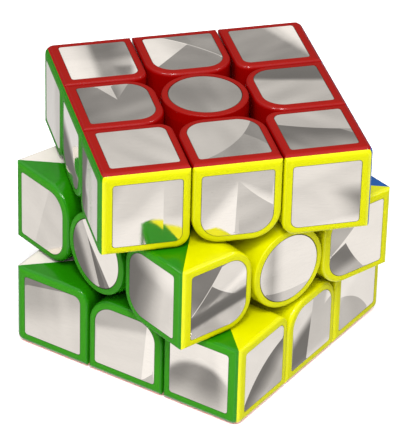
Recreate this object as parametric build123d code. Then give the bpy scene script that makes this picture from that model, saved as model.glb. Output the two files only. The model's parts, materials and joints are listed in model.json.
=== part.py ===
from build123d import *
import math
import os

# A 3x3x3 twisty puzzle cube. Every coloured piece carries flush mirror-metal tiles.
# Millimetres, +Z up. The origin is the middle of the face that the cube rests on.
# Pieces are modelled about the cube's own centre, turned with their layer and then lifted.

# Whole cube
SIZE = 56.0                 # face to face
HALF = SIZE / 2
CUT = SIZE / 6              # distance of the slicing planes from the centre
GAP = 0.30                  # running gap between neighbouring pieces
TOP_TURN = -25.25           # how far the top layer is turned about +Z, degrees
BOTTOM_TURN = 17.25         # how far the bottom layer is turned about +Z, degrees

# Coloured blocks
OUTER_EDGE_ROUND = 1.9      # rounding of the cube's own outer edges and vertices
LIP = 0.95                  # rounding of the lips that face other pieces
CORNER_INNER_ROUND = 3.0    # outline radius of a corner, on the side of the centre
EDGE_INNER_ROUND = 6.2      # outline radius of an edge piece, beside the centre
WALL = 1.4                  # wall of the hollow blocks
ROOF = 1.7                  # thickness under an outer face, tile pocket included
BLOCK_NEAR = CUT + GAP / 2  # where a corner's or edge's block starts
SLICE_HALF = CUT - GAP / 2  # half width of a middle-slice piece
REACH = 6.0                 # how far cutting prisms run past the cube

# Ball-shaped track and the feet that run in it
TRACK_OUT = 19.0
TRACK_IN = 12.0
FOOT_CUT = 5.0              # the feet reach in to this distance from the middle planes
FOOT_NEAR = FOOT_CUT + GAP / 2
STEM_RADIUS = FOOT_CUT - GAP / 2

# Mirror tiles
TILE_THICK = 0.75
POCKET_DEPTH = 0.80
TILE_SEAM = 0.08            # gap round a tile in its pocket
TILE_BEVEL = 0.10           # bevel round a tile's outer face
INNER_RIM = 1.65            # rim left between a tile and a neighbouring piece
OUTER_RIM = 2.5             # rim left between a tile and the cube's outer edge
TILE_ROUND = 0.7            # outline radius of a tile at the cube's outer edges
CORNER_TILE_ROUND = 1.75    # outline radius of a corner's tile, on the side of the centre
EDGE_TILE_ROUND = 4.4       # outline radius of an edge piece's tile, beside the centre
CENTRE_TILE_RADIUS = 7.6

# Centre pieces, as distances along their own axis and radii about it
RIM_RADIUS = 8.95
BASE_RADIUS = 9.15
CENTRE_LIP = 0.45
FLARE_END = 25.5            # the wall is straight below this height and flares in above it
CAP_SPLIT = 21.5            # where the cap meets the stem
CAP_WALL = 1.25
SKIRT_FIT = 0.05
SKIRT_WALL = 0.9
FLANGE_TOP = 19.9           # floor of the cup that the screw head sits in
CUP_DEPTH = 3.5             # how far the cup's wall runs down below its floor
TUBE_TOP = 22.4
TUBE_RADIUS = 4.3
STEM_END = 11.6
SPRING_SEAT = 13.8
SPRING_BORE = 2.9
SCREW_RADIUS = 1.25
STEM_BORE = SCREW_RADIUS + 0.07

# Core, screws, washers and springs
ARM_END = 11.5
ARM_RADIUS = 3.6
HUB_RADIUS = 6.6
SCREW_TIP = 5.0
ARM_BORE = SCREW_RADIUS + 0.02
HEAD_SEAT = 20.2
HEAD_HEIGHT = 1.4
HEAD_RADIUS = 2.55
SLOT_WIDTH = 0.8
SLOT_LENGTH = 3.3
SLOT_DEPTH = 0.7
WASHER_THICK = 0.3
WASHER_RADIUS = 2.7
WASHER_HOLE = 1.35
SPRING_RADIUS = 1.95
WIRE_RADIUS = 0.28
SPRING_TURNS = 5
CLEAR = 0.05                # air left at a face that rubs
TINY = 1e-6                 # how closely lengths agree that are meant to be equal

DIAGONAL = Axis((0, 0, 0), (1, 1, 1))
EDGE_SWAP = Axis((0, 0, 0), (0, 1, 1))
ORIGIN = Location((0, 0, HALF))
FACE_NAMES = {(1, 0, 0): "right", (0, 1, 0): "back", (-1, 0, 0): "left",
              (0, -1, 0): "front", (0, 0, 1): "top", (0, 0, -1): "bottom"}


def span(x0, x1, y0, y1, z0, z1):
    """A box given by its limits."""
    box = Box(x1 - x0, y1 - y0, z1 - z0)
    return Pos((x0 + x1) / 2, (y0 + y1) / 2, (z0 + z1) / 2) * box


def one_solid(shape):
    """The single solid of a boolean's result."""
    solids = shape.solids()
    assert len(solids) == 1, f"expected one solid, got {len(solids)}"
    return solids[0]


def outline(x0, x1, y0, y1, inner_round, outer_round, inner_corners):
    """A rectangle whose listed corners (by sign of x and y) take the inner rounding."""
    face = Pos((x0 + x1) / 2, (y0 + y1) / 2) * Rectangle(x1 - x0, y1 - y0)
    middle_x = (x0 + x1) / 2
    middle_y = (y0 + y1) / 2

    def is_inner(vertex):
        side = (1 if vertex.X > middle_x else -1, 1 if vertex.Y > middle_y else -1)
        return side in inner_corners

    inner = [v for v in face.vertices() if is_inner(v)]
    face = fillet(inner, inner_round)
    if outer_round:
        sharp = [v for v in face.vertices()
                 if abs(abs(v.X - middle_x) - (x1 - x0) / 2) < TINY
                 and abs(abs(v.Y - middle_y) - (y1 - y0) / 2) < TINY]
        face = fillet(sharp, outer_round)
    return face


def lipped_prism(face, bottom, top):
    """An outline carried down through the block, its top edge rounded to a lip."""
    prism = Pos(0, 0, bottom) * extrude(face, top - bottom)
    lip = [e for e in prism.edges() if abs(e.center().Z - top) < TINY]
    return fillet(lip, LIP)


def cube_envelope():
    """The whole cube, its outer edges and vertices rounded."""
    cube = Box(SIZE, SIZE, SIZE)
    return fillet(cube.edges(), OUTER_EDGE_ROUND)


def tile_set(face):
    """The pocket cutter and the tile for a facelet on the top face."""
    pocket = Pos(0, 0, HALF - POCKET_DEPTH) * extrude(face, POCKET_DEPTH + REACH)
    plate = extrude(offset(face, -TILE_SEAM), TILE_THICK)
    top = [e for e in plate.edges() if abs(e.center().Z - TILE_THICK) < TINY]
    plate = chamfer(top, TILE_BEVEL)
    return pocket, one_solid(Pos(0, 0, HALF - POCKET_DEPTH) * plate)


def corner_piece():
    """The corner at +X +Y +Z: three colour shells, keyed by the face each carries, and tiles."""
    far = HALF + REACH
    face = outline(BLOCK_NEAR, far, BLOCK_NEAR, far, CORNER_INNER_ROUND, 0, [(-1, -1)])
    prism = lipped_prism(face, BLOCK_NEAR - GAP, HALF)
    block = cube_envelope() & span(*(BLOCK_NEAR, far) * 3)
    for turn in (0, 120, 240):
        block = block & prism.rotate(DIAGONAL, turn)

    hollow = span(*(BLOCK_NEAR + WALL, HALF - ROOF) * 3)
    near = BLOCK_NEAR + WALL + TINY
    inner_edges = [e for e in hollow.edges()
                   if sum(c < near for c in (e.center().X, e.center().Y, e.center().Z)) == 2]
    hollow = fillet(inner_edges, CORNER_INNER_ROUND - WALL)
    block = block - hollow

    low = BLOCK_NEAR + INNER_RIM
    high = HALF - OUTER_RIM
    tile_face = outline(low, high, low, high, CORNER_TILE_ROUND, TILE_ROUND, [(-1, -1)])
    pocket, tile = tile_set(tile_face)
    for turn in (0, 120, 240):
        block = block - pocket.rotate(DIAGONAL, turn)

    foot = track_shell() & span(*(FOOT_NEAR, HALF) * 3)
    wedge = corner_wedge()
    plain = (block & wedge) - Sphere(TRACK_OUT - GAP / 2)
    base = (block & wedge) + foot
    shells = {(0, 0, 1): one_solid(base),
              (1, 0, 0): one_solid(plain.rotate(DIAGONAL, 120)),
              (0, 1, 0): one_solid(plain.rotate(DIAGONAL, 240))}
    tiles = {(0, 0, 1): tile,
             (1, 0, 0): tile.rotate(DIAGONAL, 120),
             (0, 1, 0): tile.rotate(DIAGONAL, 240)}
    return shells, tiles


def corner_wedge():
    """The third of a corner that lies nearest the top face: z above both x and y."""
    far = HALF + REACH
    above_x = Plane.XZ * make_face(Polyline((0, 0), (far, far), (0, far), close=True))
    above_x = extrude(above_x, far, both=True)
    return above_x & edge_wedge()


def track_shell():
    """The ball-shaped track that every foot runs in."""
    return Sphere(TRACK_OUT - GAP / 2) - Sphere(TRACK_IN)


def edge_piece():
    """The edge piece at +Y +Z: two colour shells, keyed by the face each carries, and tiles."""
    far = HALF + REACH
    face = outline(-SLICE_HALF, SLICE_HALF, BLOCK_NEAR, far, EDGE_INNER_ROUND, 0, [(-1, -1), (1, -1)])
    prism = lipped_prism(face, BLOCK_NEAR - GAP, HALF)
    block = cube_envelope() & span(-SLICE_HALF, SLICE_HALF, BLOCK_NEAR, far, BLOCK_NEAR, far)
    for turn in (0, 180):
        block = block & prism.rotate(EDGE_SWAP, turn)
    block = block - Sphere(TRACK_OUT + GAP / 2)

    near = BLOCK_NEAR + WALL
    roof = HALF - ROOF
    hollow_face = outline(-SLICE_HALF + WALL, SLICE_HALF - WALL, near, far,
                          EDGE_INNER_ROUND - WALL, 0, [(-1, -1), (1, -1)])
    hollow_prism = Pos(0, 0, near - GAP) * extrude(hollow_face, far - near)
    hollow = span(-SLICE_HALF, SLICE_HALF, near, roof, near, roof)
    for turn in (0, 180):
        hollow = hollow & hollow_prism.rotate(EDGE_SWAP, turn)
    hollow = hollow - Sphere(TRACK_OUT + GAP / 2 + WALL)
    block = block - hollow

    side = SLICE_HALF - INNER_RIM
    tile_face = outline(-side, side, BLOCK_NEAR + INNER_RIM, HALF - OUTER_RIM,
                        EDGE_TILE_ROUND, TILE_ROUND, [(-1, -1), (1, -1)])
    pocket, tile = tile_set(tile_face)
    for turn in (0, 180):
        block = block - pocket.rotate(EDGE_SWAP, turn)

    foot = track_shell() & span(-STEM_RADIUS, STEM_RADIUS, FOOT_NEAR, HALF, FOOT_NEAR, HALF)
    neck_shell = Sphere(TRACK_OUT + WALL) - Sphere(TRACK_IN)
    neck = neck_shell & span(-STEM_RADIUS, STEM_RADIUS, BLOCK_NEAR, HALF, BLOCK_NEAR, HALF)
    wedge = edge_wedge()
    plain = (block & wedge) - neck
    base = (block & wedge) + foot + neck
    shells = {(0, 0, 1): one_solid(base), (0, 1, 0): one_solid(plain.rotate(EDGE_SWAP, 180))}
    tiles = {(0, 0, 1): tile, (0, 1, 0): tile.rotate(EDGE_SWAP, 180)}
    return shells, tiles


def edge_wedge():
    """The half of an edge piece that lies nearest the top face: z above y."""
    far = HALF + REACH
    triangle = Plane.YZ * make_face(Polyline((0, 0), (far, far), (0, far), close=True))
    return Pos(-far, 0, 0) * extrude(triangle, 2 * far)


def turned(*points):
    """A solid turned about Z from its half section, given as (radius, height) points."""
    section = Plane.XZ * make_face(Polyline(*points, close=True))
    return revolve(section, Axis.Z)


def stem_piece():
    """A centre's stem along +Z: tube, spring seat, domed flange over the track and cup wall."""
    inner = BASE_RADIUS - CAP_WALL
    body = turned((STEM_BORE, STEM_END), (STEM_RADIUS, STEM_END), (STEM_RADIUS, FLANGE_TOP - CUP_DEPTH),
                  (BASE_RADIUS, FLANGE_TOP - CUP_DEPTH), (BASE_RADIUS, CAP_SPLIT), (inner, CAP_SPLIT),
                  (inner, FLANGE_TOP), (TUBE_RADIUS, FLANGE_TOP), (TUBE_RADIUS, TUBE_TOP),
                  (SPRING_BORE, TUBE_TOP), (SPRING_BORE, SPRING_SEAT), (STEM_BORE, SPRING_SEAT))
    track = Sphere(TRACK_OUT + GAP / 2) - Cylinder(STEM_RADIUS, 2 * HALF)
    return one_solid(body - track)


def cap_piece():
    """A centre's round cap along +Z: flared wall, tile pocket and the skirt that snaps into the stem."""
    inner = BASE_RADIUS - CAP_WALL
    skirt_out = inner - SKIRT_FIT
    skirt_in = skirt_out - SKIRT_WALL
    skirt_end = FLANGE_TOP + CLEAR
    roof = HALF - ROOF
    pocket = CENTRE_TILE_RADIUS + TILE_SEAM
    body = turned((0, roof), (skirt_in, roof), (skirt_in, skirt_end), (skirt_out, skirt_end),
                  (skirt_out, CAP_SPLIT), (BASE_RADIUS, CAP_SPLIT), (BASE_RADIUS, FLARE_END),
                  (RIM_RADIUS, HALF), (pocket, HALF), (pocket, HALF - POCKET_DEPTH),
                  (0, HALF - POCKET_DEPTH))
    rim = [e for e in body.edges().filter_by(GeomType.CIRCLE)
           if abs(e.radius - RIM_RADIUS) < TINY]
    return one_solid(fillet(rim, CENTRE_LIP))


def centre_tile():
    """The round tile in a centre's cap, on the top face."""
    plate = extrude(Circle(CENTRE_TILE_RADIUS), TILE_THICK)
    top = [e for e in plate.edges() if abs(e.center().Z - TILE_THICK) < TINY]
    return one_solid(Pos(0, 0, HALF - POCKET_DEPTH) * chamfer(top, TILE_BEVEL))


def core_piece():
    """The six-armed core, each arm bored for its screw."""
    core = Sphere(HUB_RADIUS)
    arm = Pos(0, 0, ARM_END / 2) * Cylinder(ARM_RADIUS, ARM_END)
    bore = Pos(0, 0, SCREW_TIP - CLEAR + ARM_END / 2) * Cylinder(ARM_BORE, ARM_END)
    arms = [to_face(arm, name) for name in FACE_NAMES.values()]
    bores = [to_face(bore, name) for name in FACE_NAMES.values()]
    return one_solid(core + arms - bores)


def screw():
    """A screw along +Z, with a cross slot in its head."""
    head_top = HEAD_SEAT + HEAD_HEIGHT
    body = turned((0, SCREW_TIP), (SCREW_RADIUS, SCREW_TIP), (SCREW_RADIUS, HEAD_SEAT),
                  (HEAD_RADIUS, HEAD_SEAT), (HEAD_RADIUS, head_top), (0, head_top))
    slot = Pos(0, 0, head_top) * Box(SLOT_LENGTH, SLOT_WIDTH, 2 * SLOT_DEPTH)
    return one_solid(body - slot - slot.rotate(Axis.Z, 90))


def washer(height):
    """A washer along +Z whose lower face is at the given height."""
    ring = Circle(WASHER_RADIUS) - Circle(WASHER_HOLE)
    return one_solid(Pos(0, 0, height) * extrude(ring, WASHER_THICK))


def spring():
    """A compression spring along +Z between the two washers."""
    low = SPRING_SEAT + CLEAR + WASHER_THICK + WIRE_RADIUS + CLEAR
    high = HEAD_SEAT - WASHER_THICK - WIRE_RADIUS - CLEAR
    path = Pos(0, 0, low) * Helix((high - low) / SPRING_TURNS, high - low, SPRING_RADIUS)
    wire = Plane(origin=path @ 0, z_dir=path % 0) * Circle(WIRE_RADIUS)
    return one_solid(sweep(wire, path=path, is_frenet=True))


def to_face(shape, name):
    """Carry a shape made for the top face to the named face."""
    if name == "top":
        return shape
    if name == "bottom":
        return shape.rotate(Axis.X, 180)
    quarter = {"back": 0, "left": 1, "front": 2, "right": 3}[name]
    return shape.rotate(Axis.X, -90).rotate(Axis.Z, 90 * quarter)


def facing(normal, flips, quarter):
    """The name of the face that a normal points at after the same flips and quarter turns."""
    vector = Vector(*normal)
    for axis, angle in flips:
        vector = vector.rotate(axis, angle)
    vector = vector.rotate(Axis.Z, 90 * quarter)
    return FACE_NAMES[tuple(round(c) for c in (vector.X, vector.Y, vector.Z))]


def carried(shape, flips, quarter):
    """A shape after the same flips and quarter turns."""
    for axis, angle in flips:
        shape = shape.rotate(axis, angle)
    return shape.rotate(Axis.Z, 90 * quarter)


NODES = {}


def add(name, shapes, turn=0.0):
    """Keep solids for a node, turned with their layer and lifted to stand on the floor."""
    placed = [ORIGIN * s.rotate(Axis.Z, turn) for s in shapes]
    NODES.setdefault(name, []).extend(placed)


def add_layer(layer, turn, flips):
    """The eight corner and edge pieces of the top or bottom layer."""
    tiles_node = f"mirror_tiles_{layer}_layer"
    for quarter in range(4):
        for kind, (shells, tiles) in (("corner", CORNER), ("edge", EDGE)):
            sides = [facing(n, flips, quarter) for n in shells if n != (0, 0, 1)]
            sides.sort(key=("front", "back", "left", "right").index)
            for normal, shell in shells.items():
                side = facing(normal, flips, quarter)
                moved = carried(shell, flips, quarter)
                if side == layer:
                    add(f"{layer}_{kind}_{'_'.join(sides)}", [moved], turn)
                else:
                    add(f"{layer}_layer_{side}_shells", [moved], turn)
            add(tiles_node, [carried(t, flips, quarter) for t in tiles.values()], turn)


def add_middle_edges():
    """The four edge pieces between the layers."""
    flips = [(Axis.Y, 90)]
    shells, tiles = EDGE
    for quarter in range(4):
        sides = [facing(n, flips, quarter) for n in shells]
        sides.sort(key=("front", "back", "left", "right").index)
        for normal, shell in shells.items():
            side = facing(normal, flips, quarter)
            add(f"middle_edge_{'_'.join(sides)}_{side}_shell", [carried(shell, flips, quarter)])
        add("mirror_tiles_middle_edges", [carried(t, flips, quarter) for t in tiles.values()])


def add_centres():
    """The six centre pieces: stem, cap and tile."""
    stem = stem_piece()
    cap = cap_piece()
    tile = centre_tile()
    for name in FACE_NAMES.values():
        turn = {"top": TOP_TURN, "bottom": BOTTOM_TURN}.get(name, 0.0)
        layer_tiles = f"mirror_tiles_{name}_layer" if turn else f"mirror_tile_{name}_centre"
        add(f"{name}_centre_stem", [to_face(stem, name)], turn)
        add(f"{name}_centre_cap", [to_face(cap, name)], turn)
        add(layer_tiles, [to_face(tile, name)], turn)


def add_hardware():
    """The core with its screws, washers and springs."""
    add("core", [core_piece()])
    for name in FACE_NAMES.values():
        add("centre_screws", [to_face(screw(), name)])
        add("spring_washers", [to_face(washer(SPRING_SEAT + CLEAR), name)])
        add("spring_washers", [to_face(washer(HEAD_SEAT - WASHER_THICK), name)])
        add(f"{name}_spring", [to_face(spring(), name)])


CORNER = corner_piece()
EDGE = edge_piece()
add_layer("top", TOP_TURN, [])
add_layer("bottom", BOTTOM_TURN, [(Axis.X, 180)])
add_middle_edges()
add_centres()
add_hardware()

os.makedirs("parts", exist_ok=True)
for node, solids in NODES.items():
    export_step(solids[0] if len(solids) == 1 else Compound(solids), f"parts/{node}.step")
print(len(NODES), "nodes")
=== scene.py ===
"""Looks of the twisty puzzle cube: moulded plastic pieces and creased mirror-metal tiles."""
import json
import math
import random

import bpy
from mathutils import Matrix, Vector, noise
from mathutils.geometry import delaunay_2d_cdt

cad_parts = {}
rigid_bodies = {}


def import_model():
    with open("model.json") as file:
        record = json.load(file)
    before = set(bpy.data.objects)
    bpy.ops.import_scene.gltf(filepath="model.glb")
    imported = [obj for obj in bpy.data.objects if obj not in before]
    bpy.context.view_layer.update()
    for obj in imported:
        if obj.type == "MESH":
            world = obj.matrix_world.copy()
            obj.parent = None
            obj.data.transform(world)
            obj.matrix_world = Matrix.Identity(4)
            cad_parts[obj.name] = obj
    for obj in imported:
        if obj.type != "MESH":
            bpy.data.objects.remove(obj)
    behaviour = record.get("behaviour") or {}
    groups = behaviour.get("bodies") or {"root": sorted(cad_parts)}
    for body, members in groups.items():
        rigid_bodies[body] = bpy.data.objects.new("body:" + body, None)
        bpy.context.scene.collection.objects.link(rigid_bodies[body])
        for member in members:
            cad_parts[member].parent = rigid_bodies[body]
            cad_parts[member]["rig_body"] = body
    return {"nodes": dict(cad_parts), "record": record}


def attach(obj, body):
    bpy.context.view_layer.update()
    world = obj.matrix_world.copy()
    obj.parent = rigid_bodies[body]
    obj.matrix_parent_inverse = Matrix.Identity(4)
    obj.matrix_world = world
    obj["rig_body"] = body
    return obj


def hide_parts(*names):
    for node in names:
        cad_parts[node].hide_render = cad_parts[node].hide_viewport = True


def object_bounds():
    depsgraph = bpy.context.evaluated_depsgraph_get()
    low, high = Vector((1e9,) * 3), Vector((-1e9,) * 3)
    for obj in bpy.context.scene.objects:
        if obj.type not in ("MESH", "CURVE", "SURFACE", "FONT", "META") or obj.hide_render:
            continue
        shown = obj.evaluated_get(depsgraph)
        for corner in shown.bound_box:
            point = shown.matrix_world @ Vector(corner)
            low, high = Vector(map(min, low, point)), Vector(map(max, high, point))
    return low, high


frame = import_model()
CAD_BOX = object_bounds()

# ---------------------------------------------------------------- sizes, in metres
MM = 0.001
HALF = (CAD_BOX[1].z - CAD_BOX[0].z) / 2
CENTRE = Vector((0, 0, CAD_BOX[0].z + HALF))
CUT = HALF / 3
LAYER_TURN = {1: math.radians(-25.25), 0: 0.0, -1: math.radians(17.25)}

GAP = 0.30 * MM
INNER_RIM = 1.65 * MM
OUTER_RIM = 2.5 * MM
SEAM = 0.08 * MM
POCKET = 0.80 * MM
CORNER_TILE_ROUND = 1.75 * MM
EDGE_TILE_ROUND = 4.4 * MM
TILE_ROUND = 0.7 * MM
CENTRE_TILE_RADIUS = 7.6 * MM
TILE_BEVEL = 0.12 * MM
TILE_SINK = 0.05 * MM          # the tiles lie this far behind the rims
GRID = 0.70 * MM               # spacing of a tile's surface points
ARC_STEP = 0.22 * MM           # spacing of the points round a tile's corners
RIPPLE = math.radians(1.5)     # how far a tile's foil waves to either side
RIM_START = 0.35 * MM          # the plastic's satin finish sets in this far behind a face
RIM_FULL = 0.08 * MM

# outward normal and the face's own right-hand and upward directions
FACES = {
    "front": (Vector((0, -1, 0)), Vector((1, 0, 0)), Vector((0, 0, 1))),
    "right": (Vector((1, 0, 0)), Vector((0, 1, 0)), Vector((0, 0, 1))),
    "back": (Vector((0, 1, 0)), Vector((-1, 0, 0)), Vector((0, 0, 1))),
    "left": (Vector((-1, 0, 0)), Vector((0, -1, 0)), Vector((0, 0, 1))),
    "top": (Vector((0, 0, 1)), Vector((1, 0, 0)), Vector((0, 1, 0))),
    "bottom": (Vector((0, 0, -1)), Vector((1, 0, 0)), Vector((0, -1, 0))),
}

# ---------------------------------------------------------------- camera
AZIMUTH = math.radians(-40.01)
ELEVATION = math.radians(31.47)
ROLL = math.radians(1.62)
AIM_OFFSET = (1.265 * MM, -1.667 * MM)
DISTANCE = 0.6573
LENS = 258.75


def add_camera():
    """The camera, aimed a little beside the cube's centre."""
    back = Vector((math.sin(AZIMUTH) * math.cos(ELEVATION),
                   -math.cos(AZIMUTH) * math.cos(ELEVATION), math.sin(ELEVATION)))
    level = Vector((math.cos(AZIMUTH), math.sin(AZIMUTH), 0))
    upright = back.cross(level)
    right = math.cos(ROLL) * level + math.sin(ROLL) * upright
    up = math.cos(ROLL) * upright - math.sin(ROLL) * level
    place = CENTRE + AIM_OFFSET[0] * right + AIM_OFFSET[1] * up + DISTANCE * back
    data = bpy.data.cameras.new("camera")
    data.lens = LENS
    data.sensor_width = 36
    data.clip_start = 0.01
    camera = bpy.data.objects.new("camera", data)
    camera.matrix_world = Matrix.Translation(place) @ Matrix((right, up, back)).transposed().to_4x4()
    bpy.context.scene.collection.objects.link(camera)
    bpy.context.scene.camera = camera


# ---------------------------------------------------------------- node helpers
class Nodes:
    """Short-hand for building one node tree."""

    def __init__(self, tree):
        self.tree = tree

    def add(self, kind, inputs=None, **settings):
        node = self.tree.nodes.new(kind)
        for name, value in settings.items():
            setattr(node, name, value)
        for name, value in (inputs or {}).items():
            self.feed(node.inputs[name], value)
        return node

    def feed(self, socket, value):
        if isinstance(value, bpy.types.NodeSocket):
            self.tree.links.new(value, socket)
        else:
            socket.default_value = value

    def math(self, operation, *values):
        node = self.add("ShaderNodeMath", operation=operation)
        for socket, value in zip(node.inputs, values):
            self.feed(socket, value)
        return node.outputs[0]

    def blend(self, factor, low, high):
        node = self.add("ShaderNodeMix", data_type="RGBA")
        self.feed(node.inputs["Factor"], factor)
        self.feed(node.inputs[6], low)
        self.feed(node.inputs[7], high)
        return node.outputs[2]

    def ramp(self, factor, *stops):
        """Grey levels along a factor of 0 to 1, as (position, value)."""
        node = self.add("ShaderNodeValToRGB")
        ramp = node.color_ramp
        while len(ramp.elements) < len(stops):
            ramp.elements.new(1.0)
        for element, (position, value) in zip(ramp.elements, stops):
            element.position = position
            element.color = (value, value, value, 1)
        self.feed(node.inputs["Fac"], factor)
        return node.outputs["Color"]

    def noise(self, vector, scale, detail=2.0, roughness=0.5):
        node = self.add("ShaderNodeTexNoise", {"Vector": vector, "Scale": scale,
                                               "Detail": detail, "Roughness": roughness})
        return node.outputs["Fac"]

    def span(self, value, low, high, to_low=0.0, to_high=1.0):
        node = self.add("ShaderNodeMapRange", {"Value": value, "From Min": low, "From Max": high,
                                               "To Min": to_low, "To Max": to_high})
        return node.outputs["Result"]


def new_material(name):
    material = bpy.data.materials.new(name)
    material.use_nodes = True
    nodes = Nodes(material.node_tree)
    shader = material.node_tree.nodes["Principled BSDF"]
    return material, nodes, shader


def rgb(red, green, blue):
    """Linear colour from display values of 0 to 255."""
    def linear(value):
        share = value / 255
        return share / 12.92 if share <= 0.04045 else ((share + 0.055) / 1.055) ** 2.4
    return (linear(red), linear(green), linear(blue), 1)


# ---------------------------------------------------------------- materials
def plastic(name, colour, wall_colour, turn):
    """Moulded plastic: satin, finely textured outer rims and glossier side walls."""
    material, n, shader = new_material(name)
    place = n.add("ShaderNodeTexCoord").outputs["Object"]
    offset = n.add("ShaderNodeVectorMath", operation="SUBTRACT")
    n.feed(offset.inputs[0], place)
    n.feed(offset.inputs[1], CENTRE)
    level = n.add("ShaderNodeVectorRotate", rotation_type="Z_AXIS")
    n.feed(level.inputs["Vector"], offset.outputs[0])
    n.feed(level.inputs["Angle"], -turn)
    folded = n.add("ShaderNodeVectorMath", operation="ABSOLUTE")
    n.feed(folded.inputs[0], level.outputs[0])
    axes = n.add("ShaderNodeSeparateXYZ")
    n.feed(axes.inputs[0], folded.outputs[0])
    outermost = n.math("MAXIMUM", n.math("MAXIMUM", axes.outputs[0], axes.outputs[1]), axes.outputs[2])
    rim = n.span(outermost, HALF - RIM_START, HALF - RIM_FULL)

    mottle = n.noise(place, 260, 3)
    grain = n.noise(place, 5200, 2)
    wall = n.blend(n.span(mottle, 0.3, 0.7), wall_colour, tuple(0.93 * c for c in wall_colour[:3]) + (1,))
    face = n.blend(n.span(grain, 0.25, 0.75), tuple(0.95 * c for c in colour[:3]) + (1,), colour)
    n.feed(shader.inputs["Base Color"], n.blend(rim, wall, face))
    satin = n.span(grain, 0.2, 0.8, 0.40, 0.56)
    glossy = n.span(mottle, 0.2, 0.8, 0.12, 0.22)
    n.feed(shader.inputs["Roughness"], n.span(rim, 0.0, 1.0, glossy, satin))
    shader.inputs["IOR"].default_value = 1.5
    n.feed(shader.inputs["Specular IOR Level"], n.span(rim, 0, 1, 0.40, 0.06))
    height = n.math("ADD", n.math("MULTIPLY", grain, n.span(rim, 0, 1, 0.25, 1.0)),
                    n.math("MULTIPLY", mottle, 0.5))
    bump = n.add("ShaderNodeBump", {"Height": height, "Strength": 0.35, "Distance": 0.03 * MM})
    n.feed(shader.inputs["Normal"], bump.outputs[0])
    return material


def mirror_metal():
    """Polished metal with fine diagonal brush marks, small scuffs and a greyer haze in patches."""
    material, n, shader = new_material("mirror_metal")
    uv = n.add("ShaderNodeUVMap", uv_map="tile").outputs[0]
    tilt = n.add("ShaderNodeMapping")
    n.feed(tilt.inputs["Vector"], uv)
    tilt.inputs["Rotation"].default_value = (0, 0, math.radians(38))
    tilt.inputs["Scale"].default_value = (1.2, 60, 1)
    brush = n.noise(tilt.outputs[0], 4.0, 4, 0.7)
    haze = n.noise(uv, 1.6, 3)
    fleck = n.noise(uv, 30, 2)
    shade = n.blend(n.span(brush, 0.35, 0.7), rgb(250, 243, 234), rgb(240, 232, 223))
    n.feed(shader.inputs["Base Color"], n.blend(n.span(fleck, 0.70, 0.78), shade, rgb(222, 214, 204)))
    shader.inputs["Metallic"].default_value = 1.0
    rough = n.math("ADD", n.span(brush, 0.3, 0.75, 0.03, 0.10), n.span(haze, 0.35, 0.7, 0.0, 0.06))
    n.feed(shader.inputs["Roughness"], rough)
    bump = n.add("ShaderNodeBump", {"Height": brush, "Strength": 0.2, "Distance": 0.01 * MM})
    n.feed(shader.inputs["Normal"], bump.outputs[0])
    return material


def cut_edge():
    """The dull cut edge round a tile: its dark colour is painted shade for the gap round the tile, mottled
    with dirt.
    """
    material, n, shader = new_material("tile_edge_painted_shade")
    place = n.add("ShaderNodeTexCoord").outputs["Object"]
    grime_and_gap_shade = n.noise(place, 900, 3)
    # painted shade: these dark colours stand for the shade in the gap round each tile; the noise between them
    # is dirt
    n.feed(shader.inputs["Base Color"], n.blend(grime_and_gap_shade, rgb(52, 48, 40), rgb(84, 78, 66)))
    shader.inputs["Roughness"].default_value = 0.7
    shader.inputs["Specular IOR Level"].default_value = 0.2
    return material


def steel(name, colour, roughness):
    """Plain drawn or stamped steel with a fine grain."""
    material, n, shader = new_material(name)
    place = n.add("ShaderNodeTexCoord").outputs["Object"]
    grain = n.noise(place, 2500, 3)
    n.feed(shader.inputs["Base Color"], n.blend(grain, colour, tuple(0.8 * c for c in colour[:3]) + (1,)))
    shader.inputs["Metallic"].default_value = 1.0
    n.feed(shader.inputs["Roughness"], n.span(grain, 0.2, 0.8, roughness, roughness + 0.15))
    return material


def nylon():
    """The core's dark nylon."""
    material, n, shader = new_material("core_nylon")
    place = n.add("ShaderNodeTexCoord").outputs["Object"]
    grain = n.noise(place, 3500, 2)
    n.feed(shader.inputs["Base Color"], n.blend(grain, rgb(30, 30, 32), rgb(44, 44, 46)))
    n.feed(shader.inputs["Roughness"], n.span(grain, 0.2, 0.8, 0.45, 0.6))
    return material


PLASTICS = {
    "red_plastic": (rgb(122, 14, 8), rgb(128, 2, 1)),
    "orange_plastic": (rgb(205, 92, 12), rgb(205, 80, 5)),
    "yellow_plastic": (rgb(165, 165, 0), rgb(182, 182, 0)),
    "white_plastic": (rgb(200, 195, 188), rgb(196, 190, 182)),
    "green_plastic": (rgb(42, 116, 16), rgb(24, 106, 2)),
    "blue_plastic": (rgb(12, 74, 135), rgb(6, 66, 130)),
}


def layer_of(node):
    """1, 0 or -1 for a node's layer, from the body that carries it."""
    body = frame["nodes"][node]["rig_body"]
    return {"top_layer": 1, "bottom_layer": -1}.get(body, 0)


def dress_cad_nodes():
    """Give every CAD node its finished material."""
    slots = {s["node"]: s["material_slot"] for s in frame["record"]["subparts"]}
    others = {"core_plastic": nylon(), "steel": steel("zinc_steel", rgb(190, 190, 188), 0.3),
              "spring_steel": steel("spring_wire", rgb(170, 170, 172), 0.22), "mirror_tile": TILE_METAL}
    made = {}
    for node, piece in frame["nodes"].items():
        slot = slots[node]
        key = (slot, layer_of(node))
        if slot in PLASTICS and key not in made:
            colour, wall_colour = PLASTICS[slot]
            made[key] = plastic(f"{slot}_{key[1] + 1}", colour, wall_colour, LAYER_TURN[key[1]])
        material = made[key] if slot in PLASTICS else others[slot]
        for index in range(len(piece.material_slots)):
            piece.material_slots[index].material = material


# ---------------------------------------------------------------- mirror tiles
def arc_corner(cx, cy, radius, start):
    """Points along a quarter circle that begins at the angle start."""
    steps = max(4, round(radius / ARC_STEP))
    return [Vector((cx + radius * math.cos(start + math.pi / 2 * i / steps),
                    cy + radius * math.sin(start + math.pi / 2 * i / steps))) for i in range(steps + 1)]


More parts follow.
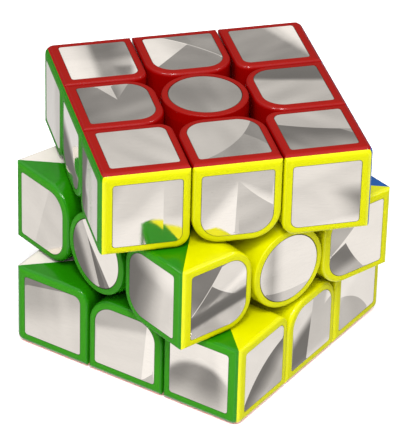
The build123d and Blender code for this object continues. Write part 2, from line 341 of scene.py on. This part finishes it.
def tile_outline(column, row, inset):
    """The outline of the tile in a cell (-1, 0 or 1 each way), drawn in by inset."""
    if column == 0 and row == 0:
        radius = CENTRE_TILE_RADIUS - inset
        count = 120
        angles = [2 * math.pi * i / count for i in range(count)]
        return [Vector((radius * math.cos(angle), radius * math.sin(angle))) for angle in angles]
    near = CUT + GAP / 2 + INNER_RIM + inset
    far = HALF - OUTER_RIM - inset
    side = CUT - GAP / 2 - INNER_RIM - inset

    def limits(index):
        return (near, far) if index == 1 else (-far, -near) if index == -1 else (-side, side)

    (x0, x1), (y0, y1) = limits(column), limits(row)
    points = []
    for sx, sy, start in ((-1, -1, math.pi), (1, -1, 1.5 * math.pi), (1, 1, 0.0), (-1, 1, 0.5 * math.pi)):
        inward = (column == 0 or sx == -column) and (row == 0 or sy == -row)
        big = EDGE_TILE_ROUND if 0 in (column, row) else CORNER_TILE_ROUND
        radius = (big if inward else TILE_ROUND) - inset
        cx = (x1 - radius) if sx > 0 else (x0 + radius)
        cy = (y1 - radius) if sy > 0 else (y0 + radius)
        points += arc_corner(cx, cy, radius, start)
    return points


class Line:
    """A straight or evenly curved line drawn on a tile.

    It runs through (x, y), in millimetres from the middle of the tile, in the direction of the heading
    in degrees. bend is its curvature per millimetre, positive when it turns left. fade is the width
    over which what lies to its left comes in; with no fade the border is sharp.
    """

    def __init__(self, x, y, heading, bend=0, fade=0):
        self.point = Vector((x, y)) * MM
        self.heading = math.radians(heading)
        self.bend = bend / MM
        self.fade = fade * MM

    def left_of(self, spot):
        """How far a spot lies to the left of the line."""
        offset = spot - self.point
        aside = Vector((-math.sin(self.heading), math.cos(self.heading)))
        if not self.bend:
            return offset.dot(aside)
        radius = 1 / self.bend
        return (abs(radius) - (offset - aside * radius).length) * math.copysign(1, self.bend)

    def share(self, spot, middle):
        """How much of the left side's effect a spot gets, in a face with the given middle."""
        if self.fade:
            return min(max(self.left_of(spot) / self.fade, 0), 1)
        return float(self.left_of(middle) > 0)

    def points(self):
        """Points along a sharp line, closely spaced and a little longer than a tile each way."""
        steps = 0 if self.fade else round(16 * MM / GRID)
        for step in range(-steps, steps + 1):
            length = step * GRID
            turn = 0.5 * self.bend * length
            chord = length if not turn else length * math.sin(turn) / turn
            yield self.point + chord * Vector((math.cos(self.heading + turn), math.sin(self.heading + turn)))


class Patch:
    """Part of a mirror tile where the foil's fine grooves turn the light another way.

    The patch lies to the left of all its lines; with no lines it is the whole tile. lean turns the
    reflecting surface up and sway turns it to the right, in degrees, on top of the other patches.
    """

    def __init__(self, lean, *lines, sway=0):
        self.turn = Vector((math.radians(sway), math.radians(lean)))
        self.lines = [Line(*line) for line in lines]

    def turn_at(self, spot, middle):
        return self.turn * min((line.share(spot, middle) for line in self.lines), default=1)


def inside(point, outline):
    """True if a point lies within a closed outline."""
    result = False
    previous = outline[-1]
    for current in outline:
        if (current.y > point.y) != (previous.y > point.y):
            share = (point.y - current.y) / (previous.y - current.y)
            if point.x < current.x + share * (previous.x - current.x):
                result = not result
        previous = current
    return result


def ripple(spot, seed):
    """The slight, streaky unevenness of a tile's foil, in radians up and to the right."""
    slant = Matrix.Rotation(noise.noise(Vector((seed.x, seed.y, 0.5))) * math.pi, 2) @ spot
    at = Vector((slant.x / (11 * MM) + seed.x, slant.y / (3.2 * MM) + seed.y, 0))
    return RIPPLE * Vector((noise.noise(at), noise.noise(at + Vector((0, 0, 9.5)))))


def surface_points(outline, patches):
    """Points and edges for one tile's top: its outline, the sharp lines and a grid between them."""
    points = list(outline)
    edges = [(i, (i + 1) % len(outline)) for i in range(len(outline))]

    def fits(spot):
        return inside(spot, outline) and all((spot - p).length > 0.35 * GRID for p in outline)

    creases = []
    for line in (line for patch in patches for line in patch.lines):
        linked = False
        for spot in line.points():
            wanted = fits(spot)
            if wanted:
                if linked:
                    edges.append((len(points) - 1, len(points)))
                points.append(spot)
                creases.append(spot)
            linked = wanted
    steps = math.ceil(8 * MM / GRID)
    for i in range(-steps, steps + 1):
        for j in range(-steps, steps + 1):
            spot = Vector((i * GRID, (j + 0.5 * (i % 2)) * GRID))
            if fits(spot) and all((spot - p).length > 0.5 * GRID for p in creases):
                points.append(spot)
    return points, edges


class TileMesh:
    """Collects the vertices, faces and normals of the tiles that make one piece."""

    def __init__(self):
        self.vertices = []
        self.faces = []
        self.normals = []
        self.coordinates = []
        self.slots = []

    def face(self, indices, normals, coordinates, slot=1):
        self.faces.append(indices)
        self.slots.append(slot)
        self.normals += normals
        self.coordinates += coordinates

    def add_tile(self, side, column, row, patches):
        """One tile in place on its side of the cube: foil top, bevel, wall and base."""
        normal, across, upward = FACES[side]
        spin = Matrix.Rotation(LAYER_TURN[{"top": 1, "bottom": -1}.get(side, row)], 3, "Z")
        middle = Vector((column, row)) * (CUT + GAP / 2 + INNER_RIM + HALF - OUTER_RIM) / 2
        foot = [p - middle for p in tile_outline(column, row, 0)]
        brim = [p - middle for p in tile_outline(column, row, TILE_BEVEL)]
        points, edges = surface_points(brim, patches)
        spots, _, triangles, sources, _, _ = delaunay_2d_cdt(points, edges, [list(range(len(brim)))], 1, 1e-7)
        seed = Vector((3.1 * column + 10 * list(FACES).index(side), 3.1 * row))

        def place(spot, depth):
            at = middle + spot
            return CENTRE + spin @ (normal * (HALF - depth) + across * at.x + upward * at.y)

        def reflector(spot, centre):
            turn = sum((patch.turn_at(spot, centre) for patch in patches), ripple(spot, seed))
            return (spin @ (normal + across * math.tan(turn.x) + upward * math.tan(turn.y))).normalized()

        start = len(self.vertices)
        self.vertices += [place(p, TILE_SINK) for p in spots]
        for triangle in triangles:
            corners = [spots[i] for i in triangle]
            centre = sum(corners, Vector((0, 0))) / 3
            self.face([start + i for i in triangle], [reflector(c, centre) for c in corners],
                      [seed + c / (15 * MM) for c in corners], slot=0)
        found = {source: index for index, group in enumerate(sources) for source in group}
        top_ring = [start + found[i] for i in range(len(brim))]
        shoulder = self.ring([place(p, TILE_SINK + TILE_BEVEL) for p in foot])
        base = self.ring([place(p, POCKET) for p in foot])
        self.wall(top_ring, shoulder, seed)
        self.wall(shoulder, base, seed)
        self.face(list(reversed(base)), [-(spin @ normal)] * len(base), [seed] * len(base))

    def ring(self, places):
        start = len(self.vertices)
        self.vertices += places
        return list(range(start, start + len(places)))

    def wall(self, upper, lower, seed):
        """A band of flat faces between two rings of vertices."""
        for i in range(len(upper)):
            j = (i + 1) % len(upper)
            quad = [lower[i], lower[j], upper[j], upper[i]]
            a, b, c = (self.vertices[k] for k in quad[:3])
            self.face(quad, [(b - a).cross(c - b).normalized()] * 4, [seed] * 4)

    def build(self, name):
        mesh = bpy.data.meshes.new(name)
        mesh.from_pydata(self.vertices, [], self.faces)
        uv = mesh.uv_layers.new(name="tile")
        for loop, coordinate in zip(uv.data, self.coordinates):
            loop.uv = coordinate
        mesh.polygons.foreach_set("use_smooth", [True] * len(mesh.polygons))
        mesh.normals_split_custom_set(self.normals)
        mesh.materials.append(TILE_METAL)
        mesh.materials.append(TILE_EDGE)
        mesh.polygons.foreach_set("material_index", self.slots)
        return mesh


def random_foil(source):
    """A foil pattern for a tile that has no listed one: a fan of patches round a random point."""
    x, y = source.uniform(-3, 3), source.uniform(-3, 3)
    heading = source.uniform(0, 360)
    patches = [Patch(source.uniform(-3, 2))]
    for lean in (source.uniform(4, 9), source.uniform(-6, -3), source.uniform(3, 7)):
        heading += source.uniform(60, 130)
        bend = source.uniform(-0.05, 0.05)
        patches.append(Patch(lean, (x, y, heading, bend), (x, y, heading + source.uniform(80, 150), 0, 4)))
    return patches


def back_again(line):
    """The same line run the other way, so that its other side is on the left."""
    x, y, heading, bend = line
    return x, y, heading + 180, -bend


def foil_patterns():
    """The foil of each tile, as (side, column, row): patches."""
    foil = {}
    arc = (1.5, 3.3, -42, -0.025)
    below = back_again(arc)
    foil["top", -1, 1] = [Patch(-10), Patch(4.5, (-5.5, 0, -92, 0, 4)), Patch(7, (-1.8, 0, -92, 0, 1.5)),
                          Patch(-10, (6.0, -3.5, -104, 0, 1.5)), Patch(-3, (2.5, 0.5, -100, 0, 4)),
                          Patch(-2.5, (0, 1.5, 180, 0, 2.5)),
                          Patch(3.5, (0, -2.5, 180, 0, 1.5), (2, 0, -90, 0, 2))]
    foil["top", 0, 1] = [Patch(-10), Patch(9, arc), Patch(9.5, (1.5, 3.3, -134), below),
                         Patch(-2.2, (3, 0, -60, 0, 6), below), Patch(-6, (1.38, 3.15, -42, -0.025), below),
                         Patch(0.8, (2, 7, 100), arc), Patch(4, (-4.5, 0, -80, 0, 5), (1.5, 3.3, 46), below)]
    foil["top", 1, 1] = [Patch(-0.8), Patch(-6, (3.7, -0.3, -65, 0, 1.6)), Patch(-5, (5.4, 0, -72, 0, 1.6)),
                         Patch(-0.8, (0, 3, 0, 0, 5)), Patch(0.8, (0, -3, 180, 0, 4))]
    foil["top", -1, 0] = [Patch(0.2), Patch(-6, (0.3, 1.3, 92), (0.3, 1.3, -62)),
                          Patch(-3, (0.3, 1.3, 60), (0.3, 1.3, -95, 0, 1.6)), Patch(1.5, (-2, 0, 90, 0, 5))]
    foil["top", 0, 0] = [Patch(0.2), Patch(-1.2, (0, -1, 180, 0, 6)), Patch(-1.4, (0, 2, -15, 0, 5))]
    foil["top", 1, 0] = [Patch(-3.4), Patch(7.5, (0, 1.9, -11.5, 0, 1.6)), Patch(-1.5, (0, 4, -11.5, 0, 3))]
    foil["top", -1, -1] = [Patch(-3.7), Patch(-0.7, (0, 0, 180, 0, 8))]
    arc = (3.7, 1.2, -125, -0.038)
    foil["top", 0, -1] = [Patch(-3.4), Patch(3.2, arc), Patch(1.8, arc, (5, -0.3, -50, -0.05)),
                          Patch(-1.2, arc, (5, -3, -130, 0, 4))]
    arc = (-1.1, 0.9, -18, 0.016)
    below = back_again(arc)
    foil["top", 1, -1] = [Patch(3), Patch(-6.6, arc), Patch(-3.4, (0, -1, 180, 0, 6), below),
                          Patch(-3.5, (5, -0.9, -42), below)]

    foil["front", -1, 1] = [Patch(0.5), Patch(-3, (-0.6, 2.9, -139, 0, 3), (3.2, 0, 90)),
                            Patch(-3, (3.2, 0, -90), (0, -1, 180, 0, 2)),
                            Patch(-2, (0, -0.5, 180, 0, 1.5), (3.2, 0, 90), sway=9)]
    foil["front", 0, 1] = [Patch(1), Patch(-8, (0, 5.5, 88), (0, 5.5, -128, 0, 3)),
                           Patch(-8, (0, 5.5, 152, 0, 2.5), (0, 5.5, -50, 0.03)),
                           Patch(1.5, (0, -2.5, -165, -0.03, 3), (0, 5.5, -88))]
    foil["front", 1, 1] = [Patch(-0.5), Patch(8, (0.5, -1, -62, 0, 8), (0, 1, -165, 0, 6)),
                           Patch(-6, (3, -5.6, -172, 0, 2)), Patch(-2, (0, 4, 20, 0, 2))]
    rib = (-1.7, 3.6, -128, -0.02)
    arc = (2, 0.6, -30, 0.045)
    foil["front", -1, 0] = [Patch(-2), Patch(12, back_again(rib)), Patch(2, arc, rib),
                            Patch(12, back_again(arc), rib, (0, -2.7, 10, 0, 3)),
                            Patch(-6, (0, 1, 38, 0, 1.6), (1, -0.4, -142, 0, 1.6)),
                            Patch(-4, (-4, 0, 130, 0, 3), back_again(rib)),
                            Patch(-11, (-1.84, 3.71, -128, -0.02), back_again(rib)),
                            Patch(44, (0, -0.6, 190, 0, 3.5)),
                            Patch(-8, (-7, -3.5, 20, 0, 1.6), (-7, -3.5, 212, 0, 1.6))]
    foil["front", 0, 0] = [Patch(-3), Patch(7, (-1.2, 0, 90, 0, 3)), Patch(-5, (-4.5, 0, 90, 0, 3)),
                           Patch(4.5, (1.1, -5.2, 180, -0.036))]
    rib = (-2.9, 0.3, -63, 0.03)
    foil["front", 1, 0] = [Patch(-3), Patch(7.5, (-3.2, 1.2, 40, 0.02)),
                           Patch(13, (-2.9, 0.3, -152), back_again(rib)),
                           Patch(-6, back_again(rib), (-3, -4, -165, 0, 2.5), (-2.9, 0.3, -152))]
    arc = (0.8, 1.4, -152, 0.044)
    foil["front", -1, -1] = [Patch(0.8), Patch(15, arc), Patch(-9, arc, (0.8, -0.5, -145, 0, 5))]
    foil["front", 0, -1] = [Patch(1.5), Patch(15, (-0.2, 4.4, 82), (-0.2, 4.4, -154, 0, 3)),
                            Patch(-6, (-4, -5.5, 180, 0, 3)), Patch(3.5, (-0.2, 4.4, -98)),
                            Patch(-8, (4.5, 4, -100, 0, 1.5), (5, 3.5, 20))]
    foil["front", 1, -1] = [Patch(-1), Patch(7.5, (-3, -0.2, 153, 0.05)), Patch(-3, (-2, 2, 30, 0, 2))]

    foil["left", -1, 1] = [Patch(0), Patch(4, (1, 0, -90, 0, 3))]
    foil["left", 0, 1] = [Patch(-2), Patch(26, (0, 2, 160, 0, 4))]
    foil["left", 1, 1] = [Patch(4), Patch(18, (-3, 1, 75, 0, 1.5)),
                          Patch(14, (0, -2, 150, 0, 2), (-1, 0, 90, 0, 2))]
    foil["left", -1, 0] = [Patch(0), Patch(1.4, (0, 0, -108)), Patch(-3, (4, -5, -150, 0, 1.5))]
    foil["left", 0, 0] = [Patch(-3), Patch(7, (-2.6, 3, 122)), Patch(14, (-2.4, -2.2, 118, 0, 3)),
                          Patch(-7, (-2.6, 0.8, 40), (-2.6, 3, 122), (-1, -2.5, 165, 0, 1.5)),
                          Patch(14, (-2.8, 3, -68), (-2.8, 3, 130))]
    foil["left", 1, 0] = [Patch(1), Patch(16, (4, 0, 80, 0, 11)), Patch(-7, (0, 2.5, -8, 0, 4))]
    foil["left", -1, -1] = [Patch(1.2), Patch(4.5, (-3, 5.9, 10)), Patch(2.6, (0, -2.5, 20, 0, 5))]
    foil["left", 0, -1] = [Patch(0.4), Patch(4, (-1, 2.3, 12, 0, 1.6)), Patch(-6, (4.9, 0, -95)),
                           Patch(9, (6, -5.6, -135))]
    foil["left", 1, -1] = [Patch(-2), Patch(10, (-0.5, 3.3, -175, 0.09, 1.6)), Patch(-5, (0, -2, 180, 0, 6)),
                           Patch(-5, (4, 0, -80, 0, 3))]
    return foil


def tile_group(node, cells):
    """One piece that replaces a CAD tile node, made of its tiles given as (side, column, row)."""
    tiles = TileMesh()
    for cell in cells:
        tiles.add_tile(*cell, FOIL.get(cell) or random_foil(random.Random(str(cell))))
    piece = bpy.data.objects.new(f"{node}_foiled", tiles.build(node))
    bpy.context.scene.collection.objects.link(piece)
    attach(piece, frame["nodes"][node]["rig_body"])
    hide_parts(node)


def add_tiles():
    sides = ("front", "right", "back", "left")
    block = [(c, r) for c in (-1, 0, 1) for r in (-1, 0, 1)]
    for layer, row in (("top", 1), ("bottom", -1)):
        cells = [(layer, c, r) for c, r in block] + [(s, c, row) for s in sides for c in (-1, 0, 1)]
        tile_group(f"mirror_tiles_{layer}_layer", cells)
    tile_group("mirror_tiles_middle_edges", [(s, c, 0) for s in sides for c in (-1, 1)])
    for side in sides:
        tile_group(f"mirror_tile_{side}_centre", [(side, 0, 0)])


# ---------------------------------------------------------------- studio
def add_floor():
    """A plain pale floor, which the mirror tiles don't show."""
    material, n, shader = new_material("studio_floor")
    place = n.add("ShaderNodeTexCoord").outputs["Object"]
    n.feed(shader.inputs["Base Color"], n.blend(n.noise(place, 3, 2), rgb(252, 252, 252), rgb(248, 248, 248)))
    shader.inputs["Roughness"].default_value = 0.9
    bpy.ops.mesh.primitive_plane_add(size=4, location=(0, 0, CAD_BOX[0].z - 0.02 * MM))
    floor = bpy.context.object
    floor.name = "studio_floor"
    floor.data.materials.append(material)
    floor.visible_glossy = False


# brightness seen in a mirror, as (elevation in degrees, brightness)
TENT = ((-90, 1.05), (-42, 1.05), (-36, 0.92), (-31.6, 0.80), (-28, 0.62), (-24, 0.44), (-20, 0.30),
        (-15, 0.19), (0, 0.16), (18, 0.16), (24, 0.19), (28, 0.28), (31.6, 0.40), (36, 0.56), (40, 0.68),
        (46, 0.88), (52, 1.0), (90, 1.0))


def add_world():
    """A light tent: white to the camera, bright above and below and dark towards the horizon."""
    world = bpy.data.worlds.new("light_tent")
    world.use_nodes = True
    bpy.context.scene.world = world
    n = Nodes(world.node_tree)
    output = world.node_tree.nodes["World Output"]
    plain = world.node_tree.nodes["Background"]
    direction = n.add("ShaderNodeTexCoord").outputs["Generated"]
    axes = n.add("ShaderNodeSeparateXYZ")
    n.feed(axes.inputs[0], direction)
    elevation = n.math("DEGREES", n.math("ARCSINE", axes.outputs[2]))
    tent = n.ramp(n.span(elevation, -90, 90), *(((angle + 90) / 180, level) for angle, level in TENT))
    n.feed(plain.inputs["Color"], (1, 1, 1, 1))
    plain.inputs["Strength"].default_value = 0.85
    seen = n.add("ShaderNodeBackground", {"Color": (1, 1, 1, 1), "Strength": 1.0})
    mirrored = n.add("ShaderNodeBackground", {"Color": tent, "Strength": 1.0})
    path = n.add("ShaderNodeLightPath")
    glossy = n.add("ShaderNodeMixShader", {0: path.outputs["Is Glossy Ray"], 1: plain.outputs[0],
                                           2: mirrored.outputs[0]})
    final = n.add("ShaderNodeMixShader", {0: path.outputs["Is Camera Ray"], 1: glossy.outputs[0],
                                          2: seen.outputs[0]})
    world.node_tree.links.new(final.outputs[0], output.inputs["Surface"])


GLINT_SIZE = 0.10


def add_light(name, place, size, power):
    """A square light of the given side and power in watts, aimed at the cube's centre."""
    data = bpy.data.lights.new(name, "AREA")
    data.shape = "SQUARE"
    data.size = size
    data.energy = power
    light = bpy.data.objects.new(name, data)
    light.location = place
    light.rotation_euler = (CENTRE - Vector(place)).to_track_quat("-Z", "Y").to_euler()
    bpy.context.scene.collection.objects.link(light)
    return light


def add_lights():
    """A large soft key light, and small lights that put highlights on the pieces' rounded lips."""
    key = add_light("key", (-0.38, -0.52, 0.80), 0.50, 9.5)
    key.visible_glossy = False
    add_light("glint_left", (-0.55, -0.10, 0.60), GLINT_SIZE, 0.8)
    add_light("glint_right", (0.45, -0.45, 0.60), GLINT_SIZE, 0.8)
    add_light("glint_front", (-0.24, -0.28, 0.62), GLINT_SIZE, 2.2)


TILE_METAL = mirror_metal()
TILE_EDGE = cut_edge()
FOIL = foil_patterns()
bpy.context.scene.view_settings.view_transform = "Standard"
add_camera()
dress_cad_nodes()
add_tiles()
add_floor()
add_world()
add_lights()
